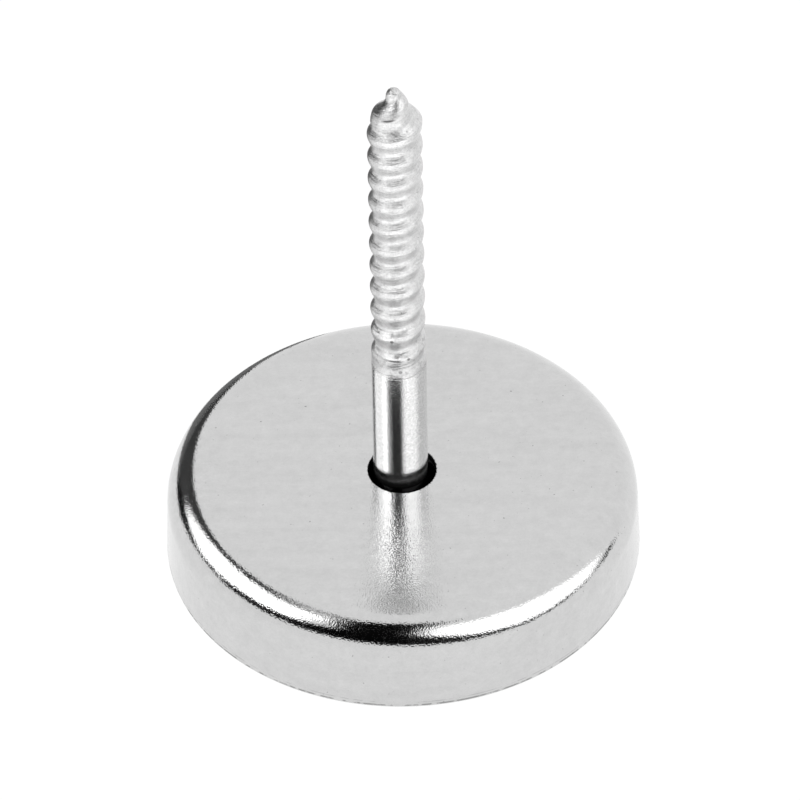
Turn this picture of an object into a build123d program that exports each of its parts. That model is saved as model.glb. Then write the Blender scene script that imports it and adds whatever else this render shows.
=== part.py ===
from build123d import *
import math
import os

# A pot magnet with a wood screw. The open face of the pot, with the magnet in
# it, is the holding face and lies on z = 0. The screw goes in through the
# magnet, seats under the closed back and points up. All sizes in millimetres.

# Drawn steel pot
pot_diameter = 50.0          # over the open rim
pot_height = 10.3            # open rim to the outside of the back
sheet = 2.0                  # thickness of wall and back
edge_radius = 4.0            # outer corner between wall and back
wall_draft = 2.0             # degrees that the wall leans in towards the back
rim_chamfer = 0.3            # on both edges of the ground rim
hole_diameter = 7.2          # clearance hole in the back
hole_land = 0.8              # length of the straight part of the hole
hole_chamfer = 0.2           # where the hole meets the outside

# Ring magnet, bonded to the inside of the back
magnet_diameter = 44.0
magnet_bore = 20.0
magnet_recess = 0.2          # magnet face below the rim
magnet_corner = 1.3          # chamfer that clears the inner corner of the pot
magnet_edge = 0.4            # chamfer on the edges of the magnet's face

# Bonding resin that fills the gap between magnet and wall
resin_recess = 0.6           # resin surface below the rim

# Countersunk wood screw
screw_length = 57.0
shank_diameter = 5.75
head_diameter = 11.2
head_land = 0.5              # straight edge of the head
screw_shift = (-0.13, 0.65)  # the screw leans on the back edge of its loose hole
recess_width = 6.2           # across the wings of the cross recess
recess_wing = 1.2            # thickness of one wing
recess_depth = 3.0
recess_taper = 0.55          # radius left at the floor, as a share of the mouth

# Thread and gimlet point
thread_diameter = 5.7
core_diameter = 4.8
pitch = 3.03
thread_length = 37.5         # from the tip to the first trace of the groove
land_share = 0.20            # width of the crest, as a share of the pitch
root_share = 0.14            # width of the groove's floor, as a share of the pitch
runout_turns = 1.2           # the groove rises out of the shank over these turns
shoulder_length = 1.6        # the shank's end cone, most of it inside the thread
point_angle = 58.0           # full angle of the conical point
point_radius = 0.8           # rounding at the very tip
point_fade = 1.6             # the groove dies out this far below the tip
slices_per_half_turn = 12    # outlines lofted into each half of the thread

# Worked out from the sizes above
pot_radius = pot_diameter / 2
hole_radius = hole_diameter / 2
floor_z = pot_height - sheet
cone_top_z = pot_height - hole_land
shank_radius = shank_diameter / 2
head_radius = head_diameter / 2
thread_radius = thread_diameter / 2
thread_depth = (thread_diameter - core_diameter) / 2
off_centre = math.hypot(*screw_shift)

# Head cone and countersink are both 90 degrees, so the cones touch along one
# line when the screw stands off centre, and the head sits that much deeper.
head_cone_z = cone_top_z + hole_radius - off_centre - shank_radius
head_face_z = head_cone_z - (head_radius - shank_radius) - head_land
tip_z = head_face_z + screw_length
thread_z = tip_z - thread_length

# The point's cone runs tangentially into the rounding at the tip.
point_half_angle = math.radians(point_angle / 2)
point_slope = math.tan(point_half_angle)
dome_radius = point_radius * math.cos(point_half_angle)
dome_z = tip_z - point_radius * (1 - math.sin(point_half_angle))
cut_margin = 0.06            # the thread is made this much too wide at the point
axis_gap = 0.1               # lofted outlines stop this far from the axis


def turned(outline):
    """Solid of revolution about Z of a closed outline drawn in the XZ plane."""
    return revolve(Plane.XZ * make_face(outline), Axis.Z)


def drafted_block(radius, bottom, top, corner):
    """Round block that leans in by the wall draft, with its upper edge rounded."""
    lean = (top - bottom) * math.tan(math.radians(wall_draft))
    block = turned(Polyline((0, bottom), (radius, bottom), (radius - lean, top), (0, top), (0, bottom)))
    upper_edge = block.edges().filter_by(GeomType.CIRCLE).sort_by(Axis.Z)[-1]
    return fillet(upper_edge, corner)


def steel_cup():
    """Drawn pot: even sheet, big outer corner, countersunk hole in the back."""
    overrun = 1.0
    lean = overrun * math.tan(math.radians(wall_draft))
    outside = drafted_block(pot_radius, 0, pot_height, edge_radius)
    inside = drafted_block(pot_radius - sheet + lean, -overrun, floor_z, edge_radius - sheet)
    countersink_radius = hole_radius + (cone_top_z - floor_z) + overrun
    screw_hole = turned(Polyline(
        (0, floor_z - overrun),
        (countersink_radius, floor_z - overrun),
        (hole_radius, cone_top_z),
        (hole_radius, pot_height + overrun),
        (0, pot_height + overrun),
        (0, floor_z - overrun),
    ))
    cup = outside - inside - screw_hole
    rim_edges = cup.edges().filter_by(GeomType.CIRCLE).group_by(Axis.Z)[0]
    cup = chamfer(rim_edges, rim_chamfer)
    outer_hole_edge = cup.edges().filter_by(GeomType.CIRCLE).group_by(Axis.Z)[-1].sort_by(SortBy.RADIUS)[0]
    return chamfer(outer_hole_edge, hole_chamfer)


def ring_magnet():
    """Sintered ferrite ring, with its upper corner cut back to clear the pot."""
    outer, bore = magnet_diameter / 2, magnet_bore / 2
    ring = turned(Polyline(
        (bore, magnet_recess),
        (outer, magnet_recess),
        (outer, floor_z - magnet_corner),
        (outer - magnet_corner, floor_z),
        (bore, floor_z),
        (bore, magnet_recess),
    ))
    face_edges = ring.edges().filter_by(GeomType.CIRCLE).group_by(Axis.Z)[0]
    return chamfer(face_edges, magnet_edge)


def resin_ring():
    """Resin cast into the gap between magnet and wall, up to the pot's inner corner."""
    top = floor_z - (edge_radius - sheet)
    inner = magnet_diameter / 2
    wall = pot_radius - sheet
    lean = math.tan(math.radians(wall_draft))
    return turned(Polyline(
        (inner, resin_recess),
        (wall - resin_recess * lean, resin_recess),
        (wall - top * lean, top),
        (inner, top),
        (inner, resin_recess),
    ))


def fade(share):
    """Smooth rise from 0 to 1 while share goes from 0 to 1."""
    share = min(max(share, 0.0), 1.0)
    return share * share * (3 - 2 * share)


def crest_radius(z):
    """Radius of the thread's crest: straight, then just outside the point's cone."""
    cone = dome_radius + (dome_z - z) * point_slope + cut_margin
    return min(thread_radius, max(dome_radius / 2, cone))


def root_radius(z):
    """Radius of the groove's floor: it fades out on the shank and at the tip."""
    leaving_shank = fade((z - thread_z) / (runout_turns * pitch))
    nearing_tip = fade((tip_z - z) / point_fade)
    return crest_radius(z) - thread_depth * min(leaving_shank, nearing_tip)


def thread_outline(angle):
    """Half section through the thread on the half plane at the given angle.

    Turning the half plane by one full turn lifts the grooves by one pitch.
    """
    root = root_share * pitch
    flank = (pitch - root - land_share * pitch) / 2
    bottom, top = thread_z - 1.5 * pitch, tip_z + 3 * pitch
    points = [(axis_gap, bottom), (thread_radius, bottom)]
    turns = math.ceil((tip_z - thread_z) / pitch) + 1
    for turn in range(turns):
        z = thread_z + pitch * (turn - 1 + angle / 360)
        points.append((crest_radius(z), z))
        points.append((root_radius(z + flank), z + flank))
        points.append((root_radius(z + flank + root), z + flank + root))
        points.append((crest_radius(z + 2 * flank + root), z + 2 * flank + root))
    points += [(dome_radius / 2, top), (axis_gap, top)]
    half_plane = Plane.XZ.rotated((0, 0, angle))
    corners = [half_plane.from_local_coords((r, z)) for r, z in points]
    return Wire.make_polygon(corners, close=True)


def threaded_rod():
    """Right-hand single-start thread, with a stub beyond the tip to be cut off."""
    halves = []
    for first in (0, 180):
        angles = [first + 180 * i / slices_per_half_turn for i in range(slices_per_half_turn + 1)]
        halves.append(Solid.make_loft([thread_outline(angle) for angle in angles]))
    bottom, top = thread_z - 1.5 * pitch, tip_z + 3 * pitch
    core = Pos(0, 0, bottom) * Cylinder(2 * axis_gap, top - bottom, align=(Align.CENTER, Align.CENTER, Align.MIN))
    return core.fuse(*halves)


def point_envelope():
    """Everything inside the point's cone and dome, wide enough for the whole screw."""
    half_way = (math.radians(90) + point_half_angle) / 2
    dome_centre = tip_z - point_radius
    on_dome = (point_radius * math.cos(half_way), dome_centre + point_radius * math.sin(half_way))
    dome = ThreePointArc((dome_radius, dome_z), on_dome, (0, tip_z))
    cone_foot = dome_z - (head_diameter - dome_radius) / point_slope
    side = Polyline((0, tip_z), (0, 0), (head_diameter, 0), (head_diameter, cone_foot), (dome_radius, dome_z))
    return turned([*dome.edges(), *side.edges()])


def cross_recess():
    """Tapered four-wing driver recess, open at the head's face."""
    mouth = recess_width / 2
    taper = turned(Polyline(
        (0, head_face_z - 1),
        (mouth, head_face_z - 1),
        (mouth, head_face_z),
        (mouth * recess_taper, head_face_z + recess_depth),
        (0, head_face_z + recess_depth),
        (0, head_face_z - 1),
    ))
    wing = Pos(0, 0, head_face_z) * Box(recess_width, recess_wing, 4 * recess_depth)
    wings = wing + Rot(0, 0, 90) * wing
    return taper & wings


def wood_screw():
    """Countersunk head, plain shank and a coarse thread cut to the tip."""
    shoulder_z = thread_z + shoulder_length
    blank = turned(Polyline(
        (0, head_face_z),
        (head_radius, head_face_z),
        (head_radius, head_face_z + head_land),
        (shank_radius, head_cone_z),
        (shank_radius, thread_z),
        (core_diameter / 2, shoulder_z),
        (0, shoulder_z),
        (0, head_face_z),
    ))
    screw = (blank + threaded_rod()) & point_envelope()
    screw = screw - cross_recess()
    return Pos(*screw_shift, 0) * screw.solid()


def build_parts():
    """Every separate piece of the object, by name."""
    return {
        "steel_cup": steel_cup(),
        "ring_magnet": ring_magnet(),
        "resin_ring": resin_ring(),
        "wood_screw": wood_screw(),
    }


os.makedirs("parts", exist_ok=True)
for name, piece in build_parts().items():
    export_step(piece, f"parts/{name}.step")
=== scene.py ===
import math

import bmesh
import bpy
from mathutils import Matrix, Vector

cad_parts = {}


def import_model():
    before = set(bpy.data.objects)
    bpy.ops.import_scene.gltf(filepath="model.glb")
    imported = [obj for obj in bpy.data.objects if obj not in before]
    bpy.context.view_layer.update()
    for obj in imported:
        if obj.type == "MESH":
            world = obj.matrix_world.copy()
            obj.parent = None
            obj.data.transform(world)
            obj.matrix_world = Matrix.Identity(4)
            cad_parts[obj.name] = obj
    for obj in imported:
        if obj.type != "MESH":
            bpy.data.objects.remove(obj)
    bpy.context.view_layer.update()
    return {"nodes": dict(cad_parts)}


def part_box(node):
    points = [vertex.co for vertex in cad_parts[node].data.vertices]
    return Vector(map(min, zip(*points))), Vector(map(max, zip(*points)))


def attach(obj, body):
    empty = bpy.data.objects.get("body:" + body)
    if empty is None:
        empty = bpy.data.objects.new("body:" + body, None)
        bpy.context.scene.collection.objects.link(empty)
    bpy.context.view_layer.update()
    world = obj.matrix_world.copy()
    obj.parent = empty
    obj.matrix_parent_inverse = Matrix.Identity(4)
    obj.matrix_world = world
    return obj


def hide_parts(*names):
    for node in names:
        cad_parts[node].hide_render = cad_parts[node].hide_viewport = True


# A pot magnet with a wood screw standing up through its closed back. The pot's
# open rim rests on the floor at z = 0. Sizes are in millimetres and are turned
# into metres where they reach Blender.

MM = 0.001
RIGHT_ANGLE = math.radians(90)

# Drawn steel pot
SHEET = 2.0                          # thickness of wall and back
EDGE_RADIUS = 4.0                    # outer corner between wall and back
WALL_DRAFT = math.radians(2.0)       # the wall leans in towards the back
RIM_EDGE = 0.3                       # broken edges of the ground rim
HOLE_RADIUS = 3.6
HOLE_LAND = 0.8                      # straight part of the hole, above its countersink
HOLE_EDGE = 0.06                     # where the hole meets the outside
POT_STEPS = 256
CORNER_SEGMENTS = 24
INNER_CORNER_SEGMENTS = 12
EDGE_SEGMENTS = 4

# Wood screw
SCREW_AXIS = (-0.13, 0.65)           # it leans on the back edge of its loose hole
SHANK_RADIUS = 2.875
HEAD_LAND = 0.5                      # straight edge of the head
HEAD_EDGE = 0.08
HEAD_EDGE_SEGMENTS = 3
RECESS_WIDTH = 6.2                   # across the wings of the cross recess
RECESS_WING = 1.2                    # thickness of one wing
RECESS_DEPTH = 3.0
RECESS_TAPER = 0.55                  # width left at the floor, as a share of the mouth
RECESS_OVERRUN = 0.5                 # the cutting block stands out of the head this far

# Thread and point; the shares are of the pitch
THREAD_RADIUS = 2.85
THREAD_DEPTH = 0.45
PITCH = 3.03
THREAD_LENGTH = 37.5                 # from the tip, without the first trace of the groove
FIRST_TRACE = 0.6
LAND_SHARE = 0.20                    # crest
ROOT_SHARE = 0.14                    # floor of the groove
UPPER_FLANK_SHARE = 0.25             # the steep flank just above a crest
CREST_SOFTNESS = 0.28                # reach of the rounding on both sides of a crest's corner
ROOT_SOFTNESS = 0.20                 # the same at the floor of the groove
RUNOUT_TURNS = 1.2                   # the groove rises out of the shank over these turns
SHOULDER = 0.1                       # step between thread and shank
POINT_HALF_ANGLE = math.radians(29.0)
POINT_RADIUS = 0.8
POINT_FADE = 1.6                     # the groove dies out this far below the tip
THREAD_STEPS = 96                    # in one turn
TURNS_BELOW = 2                      # spare turns, cut off at the shank
TURNS_ABOVE = 1                      # spare turn, drawn into the point

# Smoothing of the plated pieces
SHARP_ANGLE = math.radians(35)
FACE_WEIGHT = 80

# What is picked by its place may be this far off it.
RING_SLACK = 0.02
LEVEL_SLACK = 0.01
CUT_SLACK = 0.001
WELD_DISTANCE = 0.0005
BISECT_SLACK = 0.0001

# Greys of the finishes; a pair is for where the pattern is 0 and where it is 1
NICKEL = (0.47, 0.77)
ZINC = (0.42, 0.93)
# The next pair is painted shade on the screw inside the hole, not a finish
SHADED_ZINC = (0.05, 0.006)
FERRITE = (0.03, 0.085)
RESIN = (0.012, 0.03)
WORN = 0.10
# The next grey is painted shade in the pot's bore, not a finish
BORE_SHADE_GREY = 0.012

# Height of the relief on each finish
NICKEL_RELIEF = 0.0115
ZINC_RELIEF = 0.012
FERRITE_RELIEF = 0.02
RESIN_RELIEF = 0.05

# Wear of the pot's plating, and painted shade in its hole; heights are above the open rim. A pair
# says where a mark starts and where it is full.
GROUND_EDGE_HEIGHT = 0.36
GROUND_EDGE_REACH = 0.16
RIM_LINE_HEIGHT = 0.74
RIM_LINE_REACH = 0.09
RIM_DIRT_TOP = 1.1
RIM_DIRT_FULL = 0.2
# Painted shade in the bore and on the inside of the hole
BORE_SHADE_EDGE = (0.10, 0.02)             # outside the radius of the hole
INSIDE_SHADE_DEPTH = (0.04, 0.10)           # below the outside of the back
INSIDE_SHADE_REACH = (2.5, 2.0)       # outside the radius of the hole
ROUGH_REACH = 1.4                    # the grain is stronger this close to the hole

# Marks on the screw, with painted shade and painted highlights among them; heights are above the
# pot's open rim, sideways places from the screw's axis. A pair says where a mark starts and where it is
# full.
CUT_START = 25.3                     # the rough surface of the thread starts about here
CUT_RISE = (-0.3, 0.8)               # and comes in over this height
FIRST_TURNS = (2.6, 0.9)             # scars lie within these turns of the start
CREST_SHADOW_HEIGHT = 60.7                    # painted shadow under the crest of the first turn below the point, at the front
CREST_SHADOW_REACH = 0.17
CREST_SHADOW_SIDE = -0.15                     # as the height that the thread gains on the way there
CREST_SHADOW_SIDE_REACH = 0.26
# Ridges on the screw: relief, and a painted highlight along them
LONG_RIDGE = ((28.75, 28.15), (27.75, 28.1), (0.7, -0.1))       # top, foot and right-hand end
SHORT_RIDGE = ((31.6, 31.0), (29.8, 30.9), (-0.4, -0.75))
# Burrs by sideways place, height and radius
BURRS = ((2.3, 30.1, 0.3), (1.02, 28.05, 0.24), (0.15, 26.3, 0.28), (-0.68, 30.65, 0.28))
SHADED_TOP = (11.1, 10.1)            # painted shade on the screw from here down, inside the hole
SHADED_FOOT = (8.2, 8.7)
DEEP_SHADE = (9.9, 9.55)             # and painted nearly black from here down

# The camera stands a metre away and looks at a point about 10 above the pot's back.
CAMERA_DISTANCE = 1000.0
CAMERA_REACH = 20.0                  # in metres, far enough for the floor
CAMERA_HEIGHT_ANGLE = math.radians(44.57)
CAMERA_TILT = math.radians(-1.05)
FOCUS = (-0.08, 0, 20.35)
FOCAL_LENGTH = 425.2

# Floor, surroundings and lamps; lengths are in metres
FLOOR_SIZE = 8.0
FLOOR_PAINT = 0.9
FLOOR_GLOW = 1.06
FLOOR_GLOW_SHARE = 0.9               # the rest is lit paint, which shows the shadow
WORLD_LIGHT = 0.5
LAMP_DISTANCE = 1.5
CLOSE_LAMP_DISTANCE = 0.12

# Cards
FAR = 1200.0                         # distance of a card's corner unless told otherwise
TABLE_EDGE = 150.0                   # distance of the nearer corners
FLAG_DISTANCE = 2200.0               # behind the soft boxes
CARD_AIM_HEIGHT = 8.0                # the middle of the pot's rounded corner
PATCH_HEIGHT = 0.3                   # of the dark patches above the floor


# --- Modelling helpers -------------------------------------------------------


def deselect_everything():
    bpy.ops.object.select_all(action="DESELECT")
    bpy.context.view_layer.objects.active = None


def height_of(face):
    """Height of the middle of a face, in millimetres."""
    return face.calc_center_median().z / MM


def pick(kind, test):
    """In edit mode, selects only the vertices, edges or faces that pass the test."""
    bpy.ops.mesh.select_mode(type=kind)
    bpy.ops.mesh.select_all(action="DESELECT")
    edited = bmesh.from_edit_mesh(bpy.context.object.data)
    elements = {"VERT": edited.verts, "EDGE": edited.edges, "FACE": edited.faces}[kind]
    for element in elements:
        if test(element):
            element.select_set(True)
    edited.select_flush_mode()
    bmesh.update_edit_mesh(bpy.context.object.data)


def ring_edges(*rings):
    """Test for the edges of rings about the Z axis, each given as its height and radius."""

    def near(place, height, radius):
        return abs(place.z - height) < RING_SLACK and abs(place.xy.length - radius) < RING_SLACK

    def on_a_ring(edge):
        ends = [vertex.co / MM for vertex in edge.verts]
        return any(all(near(end, *ring) for end in ends) for ring in rings)

    return on_a_ring


def end_face(lowest, highest):
    """Test for a many-sided face, such as the end of a cylinder, between two heights."""
    return lambda face: len(face.verts) > 4 and lowest < height_of(face) < highest


def end_face_at(height):
    """Test for the many-sided face that lies at a height."""
    return end_face(height - LEVEL_SLACK, height + LEVEL_SLACK)


def resize(factor):
    """Scales what is selected towards or away from the Z axis."""
    bpy.ops.transform.resize(value=(factor, factor, 1), center_override=(0, 0, 0))


def extrude(rise):
    bpy.ops.mesh.extrude_region_move(TRANSFORM_OT_translate={"value": (0, 0, rise * MM)})


def bevel(width, segments):
    bpy.ops.mesh.bevel(
        offset=width * MM,
        segments=segments,
        profile=0.5,
        affect="EDGES",
        clamp_overlap=False,
        loop_slide=False,
    )


def edit():
    bpy.ops.object.mode_set(mode="EDIT")


def leave_edit():
    bpy.ops.object.mode_set(mode="OBJECT")


def apply_modifier(piece, kind, **settings):
    """Adds a modifier with these settings and applies it at once."""
    modifier = piece.modifiers.new(kind.title(), kind)
    for name, value in settings.items():
        setattr(modifier, name, value)
    bpy.context.view_layer.objects.active = piece
    bpy.ops.object.modifier_apply(modifier=modifier.name)


def finish_piece(piece, name, node, material):
    """Names the piece, smooths it, gives it its material and puts it in the node's place."""
    piece.name = name
    piece.data.name = name
    deselect_everything()
    piece.select_set(True)
    bpy.context.view_layer.objects.active = piece
    bpy.ops.object.transform_apply(location=True, rotation=True, scale=True)
    bpy.ops.object.shade_smooth_by_angle(angle=SHARP_ANGLE)
    apply_modifier(piece, "WEIGHTED_NORMAL", mode="FACE_AREA", weight=FACE_WEIGHT, keep_sharp=True)
    piece.data.materials.clear()
    piece.data.materials.append(material)
    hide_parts(node)
    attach(piece, "root")
    deselect_everything()


# --- Pot ---------------------------------------------------------------------


def make_pot(pot_radius, pot_height, material):
    """A turned blank, hollowed from below, with its outer corner rolled over."""
    lean = math.tan(WALL_DRAFT)
    floor_height = pot_height - SHEET
    cone_height = pot_height - HOLE_LAND
    top_radius = pot_radius - pot_height * lean
    wall_radius = pot_radius - SHEET
    floor_radius = wall_radius - floor_height * lean
    cone_radius = HOLE_RADIUS + cone_height - floor_height
    # How far a rounded corner reaches along the wall and the back, as a share of its radius
    corner_share = math.tan(RIGHT_ANGLE - (RIGHT_ANGLE + WALL_DRAFT) / 2)

    middle = (0, 0, pot_height / 2 * MM)
    bpy.ops.mesh.primitive_cylinder_add(
        vertices=POT_STEPS, radius=pot_radius * MM, depth=pot_height * MM, location=middle
    )
    pot = bpy.context.object
    bpy.ops.object.transform_apply(location=True)
    edit()
    pick("FACE", end_face_at(pot_height))
    resize(top_radius / pot_radius)
    bpy.ops.mesh.inset(thickness=(top_radius - HOLE_RADIUS) * MM)
    pick("FACE", end_face_at(0))
    bpy.ops.mesh.inset(thickness=SHEET * MM)
    extrude(floor_height)
    resize(floor_radius / wall_radius)
    bpy.ops.mesh.inset(thickness=(floor_radius - cone_radius) * MM)
    extrude(cone_height - floor_height)
    resize(HOLE_RADIUS / cone_radius)
    pick("FACE", end_face(floor_height + LEVEL_SLACK, pot_height + LEVEL_SLACK))
    bpy.ops.mesh.bridge_edge_loops()

    pick("EDGE", ring_edges((pot_height, top_radius)))
    bevel(EDGE_RADIUS * corner_share, CORNER_SEGMENTS)
    pick("EDGE", ring_edges((floor_height, floor_radius)))
    bevel((EDGE_RADIUS - SHEET) * corner_share, INNER_CORNER_SEGMENTS)
    pick("EDGE", ring_edges((pot_height, HOLE_RADIUS)))
    bevel(HOLE_EDGE, EDGE_SEGMENTS)
    pick("EDGE", ring_edges((0, pot_radius), (0, wall_radius)))
    bevel(RIM_EDGE, EDGE_SEGMENTS)
    bpy.ops.mesh.select_all(action="SELECT")
    bpy.ops.mesh.normals_make_consistent(inside=False)
    leave_edit()
    finish_piece(pot, "pot", "steel_cup", material)


# --- Wood screw --------------------------------------------------------------


def softened(distance, corner, softness):
    """Zero before a corner and the distance past it, with the corner rounded off."""
    past = distance - corner
    if past <= -softness:
        return 0.0
    if past >= softness:
        return past
    return (past + softness) ** 2 / (4 * softness)


def thread_corners():
    """Heights of the four corners of one turn, from the middle of a crest upwards."""
    upper_flank = LAND_SHARE / 2 + UPPER_FLANK_SHARE
    corners = (LAND_SHARE / 2, upper_flank, upper_flank + ROOT_SHARE, 1 - LAND_SHARE / 2)
    return [share * PITCH for share in corners]


def groove_depth(height):
    """Depth of the groove at a height above the middle of a crest: steep flank first, then long."""
    crest_end, root_start, root_end, crest_start = thread_corners()
    fall = softened(height, crest_end, CREST_SOFTNESS) - softened(height, root_start, ROOT_SOFTNESS)
    rise = softened(height, root_end, ROOT_SOFTNESS) - softened(height, crest_start, CREST_SOFTNESS)
    return THREAD_DEPTH * (fall / (root_start - crest_end) - rise / (crest_start - root_end))


def profile_stops():
    """Heights at which one turn's profile has a point, closest together at its rounded corners."""
    stops = {0.0, PITCH}
    crest_end, root_start, root_end, crest_start = thread_corners()
    across_corner = (-1, -0.5, 0, 0.5, 1)
    along_long_flank = (0.35, 0.6)
    for corner in (crest_end, crest_start):
        stops.update(corner + CREST_SOFTNESS * share for share in across_corner)
    for corner in (root_start, root_end):
        stops.update(corner + ROOT_SOFTNESS * share for share in across_corner)
    stops.update(root_end + (crest_start - root_end) * share for share in along_long_flank)
    return sorted(stops)


def fade(share):
    """Smooth rise from 0 to 1 while share goes from 0 to 1."""
    share = min(max(share, 0.0), 1.0)
    return share * share * (3 - 2 * share)


def shaped(radius, height, thread_start, tip):
    """Radius and height of a point of the straight thread once run-out and point are formed."""
    dome_height = tip - POINT_RADIUS * (1 - math.sin(POINT_HALF_ANGLE))
    round_share = min(max((height - dome_height) / PITCH, 0), 1)
    round_angle = POINT_HALF_ANGLE + (RIGHT_ANGLE - POINT_HALF_ANGLE) * round_share
    cone = max(dome_height - height, 0) * math.tan(POINT_HALF_ANGLE)
    crest = min(THREAD_RADIUS, POINT_RADIUS * math.cos(round_angle) + cone)
    height = min(height, tip - POINT_RADIUS * (1 - math.sin(round_angle)))
    leaving_shank = fade((height - thread_start) / (RUNOUT_TURNS * PITCH))
    nearing_tip = fade((tip - height) / POINT_FADE)
    return max(crest - (THREAD_RADIUS - radius) * min(leaving_shank, nearing_tip), 0), height


def make_thread(thread_start, tip):
    """One turn's profile wound up into a rod, then faded into the shank and brought to a point."""
    stops = profile_stops()
    turns = math.ceil(THREAD_LENGTH / PITCH) + TURNS_BELOW + TURNS_ABOVE
    first_crest = tip - THREAD_LENGTH - (LAND_SHARE / 2 + TURNS_BELOW) * PITCH
    bpy.ops.mesh.primitive_plane_add(size=MM)
    rod = bpy.context.object
    edit()
    bpy.ops.mesh.select_mode(type="VERT")
    bpy.ops.mesh.select_all(action="SELECT")
    bpy.ops.mesh.merge(type="CENTER")
    bpy.ops.transform.translate(value=(THREAD_RADIUS * MM, 0, first_crest * MM))
    for start, end in zip(stops, stops[1:]):
        inward = groove_depth(end) - groove_depth(start)
        step = (-inward * MM, 0, (end - start) * MM)
        bpy.ops.mesh.extrude_region_move(TRANSFORM_OT_translate={"value": step})
    leave_edit()
    apply_modifier(
        rod,
        "SCREW",
        axis="Z",
        screw_offset=PITCH * MM,
        iterations=turns,
        steps=THREAD_STEPS,
        render_steps=THREAD_STEPS,
        use_merge_vertices=False,
        use_smooth_shade=True,
    )
    for vertex in rod.data.vertices:
        place = vertex.co / MM
        before = place.xy.length
        radius, height = shaped(before, place.z, thread_start, tip)
        vertex.co = Vector((place.x * radius / before, place.y * radius / before, height)) * MM
    edit()
    bpy.ops.mesh.select_all(action="SELECT")
    bpy.ops.mesh.remove_doubles(threshold=WELD_DISTANCE * MM)
    bpy.ops.mesh.dissolve_degenerate(threshold=WELD_DISTANCE * MM)
    bpy.ops.mesh.select_all(action="SELECT")
    bpy.ops.mesh.bisect(
        plane_co=(0, 0, thread_start * MM),
        plane_no=(0, 0, 1),
        clear_inner=True,
        threshold=BISECT_SLACK * MM,
    )
    leave_edit()
    return rod


def make_screw(head_face, tip, head_radius, material):
    """The threaded rod, drawn down into shoulder, shank and countersunk head."""
    thread_start = tip - THREAD_LENGTH - FIRST_TRACE
    rod = make_thread(thread_start, tip)
    head_cone = head_face + HEAD_LAND + head_radius - SHANK_RADIUS
    edit()
    pick("VERT", lambda vertex: abs(vertex.co.z / MM - thread_start) < CUT_SLACK)
    extrude(-SHOULDER)
    resize(SHANK_RADIUS / THREAD_RADIUS)
    extrude(head_cone - thread_start + SHOULDER)
    extrude(head_face + HEAD_LAND - head_cone)
    resize(head_radius / SHANK_RADIUS)
    extrude(-HEAD_LAND)
    bpy.ops.mesh.edge_face_add()
    bpy.ops.mesh.select_all(action="SELECT")
    bpy.ops.mesh.normals_make_consistent(inside=False)
    pick("EDGE", ring_edges((head_face, head_radius), (head_face + HEAD_LAND, head_radius)))
    bevel(HEAD_EDGE, HEAD_EDGE_SEGMENTS)
    leave_edit()
    cut_recess(rod, head_face)
    deselect_everything()
    rod.select_set(True)
    bpy.context.view_layer.objects.active = rod
    rod.location = (SCREW_AXIS[0] * MM, SCREW_AXIS[1] * MM, 0)
    finish_piece(rod, "screw", "wood_screw", material)
    return rod


def cut_recess(screw, head_face):
    """Presses the tapered cross recess into the head."""
    height = RECESS_DEPTH + RECESS_OVERRUN
    middle = (0, 0, (head_face - RECESS_OVERRUN + height / 2) * MM)
    wings = []
    for width, depth in ((RECESS_WIDTH, RECESS_WING), (RECESS_WING, RECESS_WIDTH)):
        size = (width * MM, depth * MM, height * MM)
        bpy.ops.mesh.primitive_cube_add(size=1, location=middle, scale=size)
        wing = bpy.context.object
        bpy.ops.object.transform_apply(location=True, scale=True)
        edit()
        pick("FACE", lambda face: height_of(face) > head_face + RECESS_DEPTH - LEVEL_SLACK)
        taper = (RECESS_TAPER, 1, 1) if width > depth else (1, RECESS_TAPER, 1)
        bpy.ops.transform.resize(value=taper, center_override=(0, 0, head_face * MM))
        leave_edit()
        wings.append(wing)
    for wing in wings:
        apply_modifier(screw, "BOOLEAN", operation="DIFFERENCE", object=wing, solver="EXACT")
        bpy.data.objects.remove(wing)


# --- Materials ---------------------------------------------------------------


class Shade:
    """One socket of a material or of the world, with arithmetic that adds Math nodes."""

    def __init__(self, material, socket):
        self.material = material
        self.socket = socket

    def math(self, operation, *others):
        return self.node("ShaderNodeMath", {"operation": operation}, self, *others)

    def node(self, kind, settings, *values, output=0, **named):
        """Adds a node: its settings first, then its sockets by place, name or, as _6, number."""
        added = self.material.node_tree.nodes.new(kind)
        for name, value in settings.items():
            setattr(added, name, value)
        sockets = list(enumerate(values))
        for name, value in named.items():
            sockets.append((int(name[1:]) if name[0] == "_" else name.replace("_", " "), value))
        for key, value in sockets:
            if isinstance(value, Shade):
                self.material.node_tree.links.new(value.socket, added.inputs[key])
            else:
                added.inputs[key].default_value = value
        return Shade(self.material, added.outputs[output])

    def __add__(self, other):
        return self.math("ADD", other)

    def __radd__(self, other):
        return self.math("ADD", other)

    def __sub__(self, other):
        return self.math("SUBTRACT", other)

    def __rsub__(self, other):
        return self.node("ShaderNodeMath", {"operation": "SUBTRACT"}, other, self)

    def __mul__(self, other):
        return self.math("MULTIPLY", other)

    def __rmul__(self, other):
        return self.math("MULTIPLY", other)


def grey(level):
    return (level, level, level, 1)


def new_material(name, **constants):
    """A material, its shader with these fixed values, and the place on the piece in millimetres."""
    material = bpy.data.materials.new(name)
    material.use_nodes = True
    shader = material.node_tree.nodes["Principled BSDF"]
    for socket, value in constants.items():
        shader.inputs[socket.replace("_", " ")].default_value = value
    coordinates = material.node_tree.nodes.new("ShaderNodeTexCoord")
    place = Shade(material, coordinates.outputs["Object"])
    in_millimetres = place.node("ShaderNodeVectorMath", {"operation": "SCALE"}, place, Scale=1 / MM)
    return material, shader, in_millimetres


def connect(shade, node, socket):
    shade.material.node_tree.links.new(shade.socket, node.inputs[socket])


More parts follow.
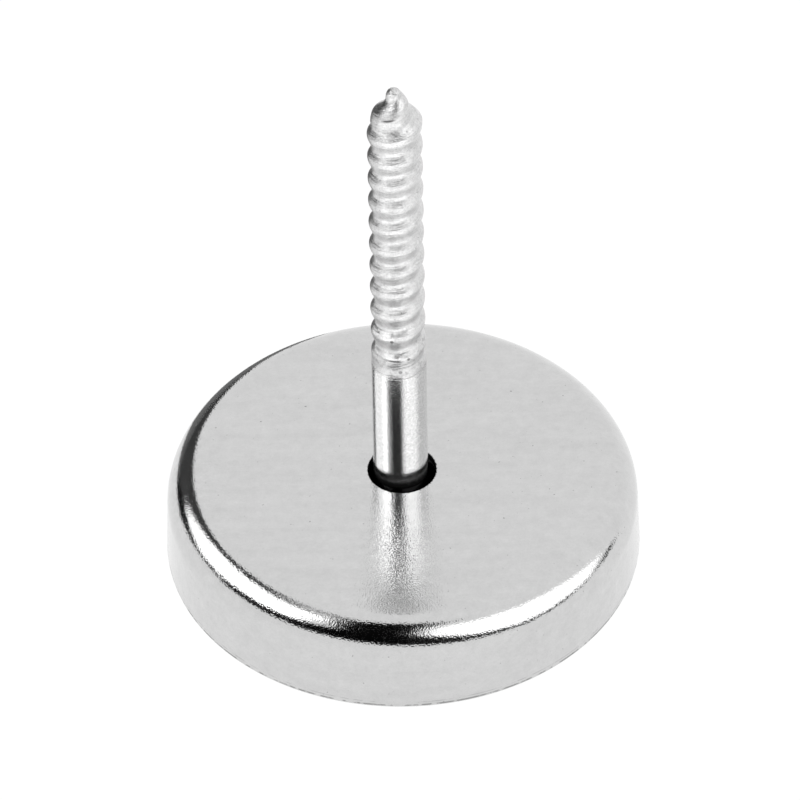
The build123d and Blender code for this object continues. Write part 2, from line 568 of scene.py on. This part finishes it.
def split(vector):
    """The x, y and z of a vector."""
    return [vector.node("ShaderNodeSeparateXYZ", {}, vector, output=index) for index in range(3)]


def joined(x, y, z):
    """A vector made of its x, y and z."""
    return x.node("ShaderNodeCombineXYZ", {}, x, y, z)


def noise(place, scale, detail=2.0, roughness=0.5):
    """Noise from 0 to 1 with that many grains to one unit of the place."""
    sockets = {"Scale": scale, "Detail": detail, "Roughness": roughness}
    return place.node("ShaderNodeTexNoise", {}, Vector=place, **sockets)


def ramp(value, zero_at, one_at):
    """Smooth rise from 0 at the first value to 1 at the second, which may be the lower one."""
    settings = {"interpolation_type": "SMOOTHSTEP"}
    if zero_at < one_at:
        return value.node("ShaderNodeMapRange", settings, value, zero_at, one_at, 0.0, 1.0)
    return value.node("ShaderNodeMapRange", settings, value, one_at, zero_at, 1.0, 0.0)


def line_at(value, middle, reach):
    """1 at the middle value, falling to 0 at the reach on both sides of it."""
    return ramp((value - middle).math("ABSOLUTE"), reach, 0.0)


def spot(across, up, middle_across, middle_up, radius):
    """1 in the middle of a round spot on the plane of two coordinates, falling to 0 at its radius."""
    core = 0.4 * radius
    aside = across - middle_across
    above = up - middle_up
    return ramp((aside * aside + above * above).math("SQRT"), radius, core)


def angle_of(towards, aside):
    """Angle about the screw's axis, as the height in millimetres that the thread gains over it."""
    return aside.math("ARCTAN2", towards) * (PITCH / math.tau)


def mix_colours(share, first, second):
    """The first colour where the share is 0 and the second where it is 1; a number is a grey."""
    first, second = (colour if isinstance(colour, Shade) else grey(colour) for colour in (first, second))
    return share.node("ShaderNodeMix", {"data_type": "RGBA"}, share, output=2, _6=first, _7=second)


def bump(height, rise):
    """Relief in which the height from 0 to 1 stands for the rise, in millimetres."""
    return height.node("ShaderNodeBump", {}, Strength=1.0, Distance=rise * MM, Height=height)


def nickel_plate(pot_height):
    """Bright nickel over drawn sheet, with the sheet's fine grain showing through."""
    material, shader, place = new_material("nickel plate", Metallic=1.0)
    x, y, z = split(place)
    radius = (x * x + y * y).math("SQRT")

    mottle = noise(place, 0.8, detail=5.0, roughness=0.9)
    smears = noise(joined(x * 0.09, y * 0.5, z * 0.5), 1.0, detail=4.0, roughness=0.7)
    coarse_grain = noise(place, 4.5, detail=0.4)
    fine_grain = noise(place, 6.8, detail=0.4)
    grain = 0.8 * coarse_grain + 0.9 * fine_grain
    near_hole = ramp(radius, HOLE_RADIUS + ROUGH_REACH, HOLE_RADIUS)

    specks = ramp(noise(place, 2.3), 0.735, 0.775)
    worn_edge = ramp(noise(place, 0.9, detail=3.0, roughness=0.6), 0.42, 0.56)
    worn_line = ramp(noise(place, 0.5, detail=3.0, roughness=0.6), 0.40, 0.55)
    dirt = ramp(noise(place, 3.1, detail=3.0, roughness=0.6), 0.66, 0.72)
    ground_edge = line_at(z, GROUND_EDGE_HEIGHT, GROUND_EDGE_REACH) * worn_edge
    rim_line = line_at(z, RIM_LINE_HEIGHT, RIM_LINE_REACH) * worn_line
    rim_dirt = ramp(z, RIM_DIRT_TOP, RIM_DIRT_FULL) * dirt
    wear = (0.55 * specks + 0.7 * ground_edge + 0.3 * rim_line + 0.8 * rim_dirt).math("MINIMUM", 0.9)

    # Painted shade in the bore and on the inside of the hole, with a ragged edge: nearly black, not
    # metal and rougher
    torn_radius = radius + 0.5 * (0.5 - noise(place, 3.5, detail=3.0, roughness=0.7))
    shade_in_bore = ramp(torn_radius, *(HOLE_RADIUS + reach for reach in BORE_SHADE_EDGE))
    shade_below_back = ramp(z, *(pot_height - depth for depth in INSIDE_SHADE_DEPTH))
    shade_below_back = shade_below_back * ramp(radius, *(HOLE_RADIUS + reach for reach in INSIDE_SHADE_REACH))
    dark = shade_in_bore.math("MAXIMUM", shade_below_back)

    plating = mix_colours(0.65 * mottle + 0.35 * smears, *NICKEL)
    worn = mix_colours(wear, plating, WORN)
    connect(mix_colours(dark, worn, BORE_SHADE_GREY), shader, "Base Color")
    connect(1 - dark, shader, "Metallic")
    connect(0.09 + 0.03 * smears + 0.3 * wear + 0.25 * dark, shader, "Roughness")
    connect(bump(grain * (1 + 0.3 * near_hole), NICKEL_RELIEF), shader, "Normal")
    return material


def ridge(across, up, top, foot, end):
    """1 along a ridge, falling to 0 at its top, its foot and one end."""
    return ramp(up, *top) * ramp(up, *foot) * ramp(across, *end)


def thread_lines(x, y, z, turn):
    """Fine lines that run along the thread, left by the tool that cut it."""
    return noise(joined(x * 0.5, y * 0.5, (z - turn) * 4.5), 1.0, detail=3.0, roughness=0.7)


def zinc_plate():
    """Bright zinc over steel: a smooth drawn shank and a rough cut thread."""
    material, shader, place = new_material("zinc plate", Metallic=1.0)
    x, y, z = split(place)
    x = x - SCREW_AXIS[0]
    y = y - SCREW_AXIS[1]
    cut = ramp(z, *(CUT_START + rise for rise in CUT_RISE))
    first_turns = cut * ramp(z, *(CUT_START + turns * PITCH for turns in FIRST_TURNS))

    # Each angle jumps on the side of the screw where the other one is used.
    front_turn = angle_of(0 - y, x)
    back_turn = angle_of(y, 0 - x)
    behind = ramp(y, -0.6, 0.6)
    facing = ramp(y, 0.0, -0.5)
    front_lines = thread_lines(x, y, z, front_turn)
    back_lines = thread_lines(x, y, z, back_turn)
    lines = front_lines * (1 - behind) + back_lines * behind

    grain = noise(place, 5.0, detail=0.8, roughness=0.6)
    lumps = noise(place, 1.6, detail=4.0, roughness=0.6)
    pits = cut * ramp(noise(place, 1.9), 0.71, 0.76)
    scars = first_turns * ramp(lumps, 0.52, 0.66)
    # Painted shadow: a dark line under the crest of the first turn below the point
    crest_shadow = line_at(z - front_turn, CREST_SHADOW_HEIGHT, CREST_SHADOW_REACH) * facing
    crest_shadow = crest_shadow * line_at(front_turn, CREST_SHADOW_SIDE, CREST_SHADOW_SIDE_REACH)
    burrs = facing * sum(spot(x, z, *burr) for burr in BURRS)
    long_ridge = facing * ridge(x, z, *LONG_RIDGE)
    short_ridge = facing * ridge(x, z, *SHORT_RIDGE)
    # Pits, scars and burrs are wear; the line under the crest is painted shadow mixed in with them
    wear = (0.5 * pits + 0.35 * scars + 1.6 * crest_shadow + 0.7 * burrs).math("MINIMUM", 0.95)
    # Painted shade on the screw inside the hole, nearly black further down
    hole_shade = ramp(z + 0.8 * (grain - 0.5), *SHADED_TOP) * ramp(z, *SHADED_FOOT)

    tone = 0.72 - 0.18 * cut + 0.7 * (grain - 0.5) + 0.35 * (lumps - 0.5) + 0.7 * cut * (lines - 0.5)
    # Painted highlight along the two ridges, besides their relief
    tone = tone + 0.35 * (long_ridge + short_ridge)
    plating = mix_colours(tone, *ZINC)
    worn = mix_colours(wear, plating, WORN)
    shaded = mix_colours(ramp(z, *DEEP_SHADE), *SHADED_ZINC)
    connect(mix_colours(hole_shade, worn, shaded), shader, "Base Color")
    connect(0.15 + 0.05 * grain + cut * (0.09 + 0.10 * lumps), shader, "Roughness")
    relief = grain * (1.4 - 1.0 * cut) + cut * (8.0 * lines - 0.5 * pits) + 4.0 * first_turns * lumps
    relief = relief + 12.0 * long_ridge + 14.0 * short_ridge
    connect(bump(relief, ZINC_RELIEF), shader, "Normal")
    return material


def ferrite():
    """Sintered ferrite, ground on its faces."""
    material, shader, place = new_material("ferrite", Metallic=0.0, IOR=1.9)
    grains = noise(place, 3.5, detail=4.0)
    along_grinding = place.node("ShaderNodeMapping", {}, place, Scale=(0.3, 6.0, 1.0))
    scratches = noise(along_grinding, 1.0, detail=3.0)
    connect(mix_colours(0.6 * grains + 0.4 * scratches, *FERRITE), shader, "Base Color")
    connect(0.34 + 0.25 * grains, shader, "Roughness")
    connect(bump(grains + scratches, FERRITE_RELIEF), shader, "Normal")
    return material


def resin():
    """Black casting resin."""
    material, shader, place = new_material("casting resin", Metallic=0.0, IOR=1.5)
    ripples = noise(place, 0.4, detail=3.0)
    connect(mix_colours(ripples, *RESIN), shader, "Base Color")
    connect(0.25 + 0.25 * ripples, shader, "Roughness")
    connect(bump(ripples, RESIN_RELIEF), shader, "Normal")
    return material


# --- Stage -------------------------------------------------------------------


def direction(azimuth, elevation):
    """Unit vector; azimuth runs from +X towards +Y, elevation up from the floor, both in degrees."""
    around, up = math.radians(azimuth), math.radians(elevation)
    return Vector((math.cos(up) * math.cos(around), math.cos(up) * math.sin(around), math.sin(up)))


def face_object(lamp, azimuth, elevation, distance, turn=0.0):
    """Puts a lamp in a direction, facing the object and turned about its own axis."""
    away = direction(azimuth, elevation)
    aim = away.to_track_quat("Z", "Y").to_matrix()
    lamp.location = away * distance
    lamp.rotation_euler = (aim @ Matrix.Rotation(math.radians(turn), 3, "Z")).to_euler()


def lit_group(name, piece, state):
    """What a lamp lights: with INCLUDE the piece alone, with EXCLUDE all but the piece."""
    group = bpy.data.collections.new(name)
    group.objects.link(piece)
    group.collection_objects[0].light_linking.link_state = state
    return group


def area_lamp(name, width, height, radiance, lit):
    """Rectangular lamp, in metres, that lights only one group of pieces."""
    lamp = bpy.data.lights.new(name, "AREA")
    lamp.shape = "RECTANGLE"
    lamp.size = width
    lamp.size_y = height
    lamp.energy = radiance * math.pi * width * height
    piece = bpy.data.objects.new(name, lamp)
    bpy.context.scene.collection.objects.link(piece)
    piece.light_linking.receiver_collection = lit
    piece.visible_camera = False
    return piece


def softbox(name, azimuth, elevation, width, height, radiance, lit, turn=0.0, distance=LAMP_DISTANCE):
    """Area lamp that spans the given angles, in degrees, as seen from the object."""
    across, up = (2 * distance * math.tan(math.radians(angle / 2)) for angle in (width, height))
    face_object(area_lamp(name, across, up, radiance, lit), azimuth, elevation, distance, turn)


def floor_light(name, middle, width, depth, radiance, lit):
    """Area lamp that lies on the floor and shines up; its sizes are in millimetres."""
    lamp = area_lamp(name, width * MM, depth * MM, radiance, lit)
    lamp.location = (middle[0] * MM, middle[1] * MM, MM)
    lamp.rotation_euler = (math.pi, 0, 0)


def card(name, material, *corners):
    """Flat card that the camera does not see, by its corners as (azimuth, elevation, distance).

    The angles are those seen from the pot's axis, at the height of its rounded corner. The
    corners come in the order lower left, lower right, upper left, upper right; without a
    distance they are far away.
    """
    bpy.ops.mesh.primitive_plane_add(size=1)
    piece = bpy.context.object
    piece.name = name
    seen_from = Vector((0, 0, CARD_AIM_HEIGHT))
    for vertex, (azimuth, elevation, *distance) in zip(piece.data.vertices, corners):
        away = distance[0] if distance else FAR
        vertex.co = (seen_from + direction(azimuth, elevation) * away) * MM
    hang(piece, material)


def floor_patch(name, material, *corners):
    """Dark patch just above the floor, by its corners in millimetres, in the order of a card's."""
    bpy.ops.mesh.primitive_plane_add(size=1)
    piece = bpy.context.object
    piece.name = name
    for vertex, (x, y) in zip(piece.data.vertices, corners):
        vertex.co = Vector((x, y, PATCH_HEIGHT)) * MM
    hang(piece, material)


def hang(piece, material):
    """Gives a card its material and lets it show in reflections alone."""
    piece.data.materials.append(material)
    piece.visible_camera = False
    piece.visible_shadow = False
    piece.visible_diffuse = False


def card_material(name, level):
    """Material that shows one plain level from every side."""
    material = bpy.data.materials.new(name)
    material.use_nodes = True
    tree = material.node_tree
    tree.nodes.clear()
    glow = tree.nodes.new("ShaderNodeEmission")
    glow.inputs["Color"].default_value = grey(level)
    output = tree.nodes.new("ShaderNodeOutputMaterial")
    tree.links.new(glow.outputs[0], output.inputs["Surface"])
    return material


def seen_share(material, level):
    """Level for rays from the camera and for reflections, 0 for the light that falls on things."""
    path = material.node_tree.nodes.new("ShaderNodeLightPath")
    rays = ("Is Camera Ray", "Is Glossy Ray", "Is Transmission Ray")
    camera, reflected, passing = (Shade(material, path.outputs[ray]) for ray in rays)
    return level * camera.math("MAXIMUM", reflected).math("MAXIMUM", passing)


def make_floor():
    """White floor that glows for the camera, with enough lit paint that the shadow still shows."""
    bpy.ops.mesh.primitive_plane_add(size=FLOOR_SIZE)
    floor = bpy.context.object
    floor.name = "floor"
    material = bpy.data.materials.new("white floor")
    material.use_nodes = True
    nodes = material.node_tree.nodes
    paint = nodes["Principled BSDF"]
    paint.inputs["Base Color"].default_value = grey(FLOOR_PAINT)
    paint.inputs["Roughness"].default_value = 0.9
    seen = seen_share(material, FLOOR_GLOW_SHARE)
    glow = seen.node("ShaderNodeEmission", {}, Strength=FLOOR_GLOW)
    lit = Shade(material, paint.outputs[0])
    connect(seen.node("ShaderNodeMixShader", {}, seen, lit, glow), nodes["Material Output"], "Surface")
    floor.data.materials.append(material)


def make_surroundings():
    """White all round for the camera and for reflections, and a plain level of light."""
    world = bpy.data.worlds.new("studio")
    bpy.context.scene.world = world
    world.use_nodes = True
    nodes = world.node_tree.nodes
    background = nodes["Background"]
    background.inputs["Color"].default_value = grey(1.0)
    background.inputs["Strength"].default_value = WORLD_LIGHT
    seen = seen_share(world, 1.0)
    white = seen.node("ShaderNodeBackground", {}, Color=grey(1.0))
    light = Shade(world, background.outputs[0])
    connect(seen.node("ShaderNodeMixShader", {}, seen, light, white), nodes["World Output"], "Surface")


def light_pieces(screw):
    """Two soft boxes for all but the screw, and lamps of its own for the screw."""
    all_but_screw = lit_group("all but the screw", screw, "EXCLUDE")
    alone = lit_group("screw alone", screw, "INCLUDE")
    near = CLOSE_LAMP_DISTANCE
    softbox("left softbox", 171, 38.5, 66, 39, 1.8, all_but_screw, turn=26)
    softbox("right softbox", 326, 28, 76, 46, 0.9, all_but_screw, turn=-37)
    softbox("left softbox for the screw, upper", 186, 47, 62, 22, 1.8, alone, turn=8)
    softbox("right softbox for the screw, upper", 314, 46, 56, 22, 0.9, alone, turn=-8)
    softbox("grey wall for the screw", 220, 27, 70, 28, 0.38, alone, distance=near)
    floor_light("bright floor for the screw", (-60, -110), 300, 165, 0.75, alone)
    softbox("right softbox for the screw, lower", 313, 16, 26, 30, 0.5, alone, distance=1.0)
    softbox("front light for the screw", 270, 27, 30, 28, 0.2, alone, distance=near)


def hang_cards():
    """The dark cards and floor patches that the plating mirrors."""
    black = card_material("black card", 0.002)
    dark = card_material("dark card", 0.04)
    darkish = card_material("less dark card", 0.055)
    dim = card_material("dim card", 0.18)
    near = TABLE_EDGE
    flag = FLAG_DISTANCE
    card("front card, top", black, (219, 64), (284, 64), (212, 78), (300, 78))
    card("front card, upper", black, (233, 46), (275, 46), (219, 64), (284, 64))
    card("front card, lower", black, (210, 30), (304, 15), (233, 46), (275, 46))
    card("strip over left softbox", dim, (150, 60), (172, 69), (150, 66), (172, 73))
    card("strip over left softbox, right", dim, (172, 69), (226, 71), (172, 73), (224, 77))
    card("strip over right softbox", dim, (280, 66), (308, 69), (292, 77), (312, 73))
    card("table edge, left", black, (138, -3, near), (166, 7, near), (143, 17), (166, 15))
    card("table edge, middle left", black, (166, 7, near), (186, 13, near), (166, 15), (186, 22))
    front_left = ((184, 10.7, near), (214, 15.4, near), (184, 18.5, near), (214, 29.8, near))
    card("table edge, front left", black, *front_left)
    front = ((212, 15.6, near), (270, 14.3, near), (212, 29.8, near), (270, 29.3, near))
    card("table edge, front", black, *front)
    card("table edge, front right", black, (270, 17), (320, 3), (270, 34), (320, 9))
    card("table edge, right", black, (320, 1), (358, -5), (320, 7), (358, 2))
    card("side card, lower", darkish, (104, 0), (152, 0), (118, 25), (142, 25))
    card("side card, upper", dark, (118, 25), (142, 25), (134, 54), (148, 56))
    card("side card, top", dark, (134, 54), (148, 56), (146, 66), (156, 62))
    behind_softbox = ((140, 10, flag), (196, 20, flag), (148, 60, flag), (196, 66, flag))
    card("flag behind left softbox", black, *behind_softbox)
    card("dark card, right", dark, (0, -8), (20, -8), (2, 3), (14, 8))
    floor_patch("dark floor, near", dim, (-27, 24), (-8, 36), (-114, 91), (-40, 126))
    floor_patch("dark floor, far", darkish, (-114, 91), (-40, 126), (-900, 640), (-240, 900))


def make_camera():
    """Camera in front of the pot, looking down at it."""
    lens = bpy.data.cameras.new("camera")
    lens.lens = FOCAL_LENGTH
    lens.clip_end = CAMERA_REACH
    camera = bpy.data.objects.new("camera", lens)
    bpy.context.scene.collection.objects.link(camera)
    place = Vector((0, -math.cos(CAMERA_HEIGHT_ANGLE), math.sin(CAMERA_HEIGHT_ANGLE))) * CAMERA_DISTANCE
    aim = (place - Vector(FOCUS)).to_track_quat("Z", "Y").to_matrix()
    camera.location = place * MM
    camera.rotation_euler = (aim @ Matrix.Rotation(CAMERA_TILT, 3, "Z")).to_euler()
    bpy.context.scene.camera = camera


# --- Everything together -----------------------------------------------------


def dress(piece, material):
    """Gives a piece of the frame its material."""
    piece.data.materials.clear()
    piece.data.materials.append(material)


def main():
    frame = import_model()
    deselect_everything()
    pot_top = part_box("steel_cup")[1] / MM
    screw_low, screw_high = (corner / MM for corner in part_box("wood_screw"))
    # The pot is widest just above the broken edge of its rim.
    rim_radius = pot_top.x + RIM_EDGE * math.tan(WALL_DRAFT)
    make_pot(rim_radius, pot_top.z, nickel_plate(pot_top.z))
    head_radius = (screw_high.x - screw_low.x) / 2
    screw = make_screw(screw_low.z, screw_high.z, head_radius, zinc_plate())
    dress(frame["nodes"]["ring_magnet"], ferrite())
    dress(frame["nodes"]["resin_ring"], resin())
    make_floor()
    make_surroundings()
    light_pieces(screw)
    hang_cards()
    make_camera()
    bpy.context.scene.view_settings.view_transform = "Standard"


main()
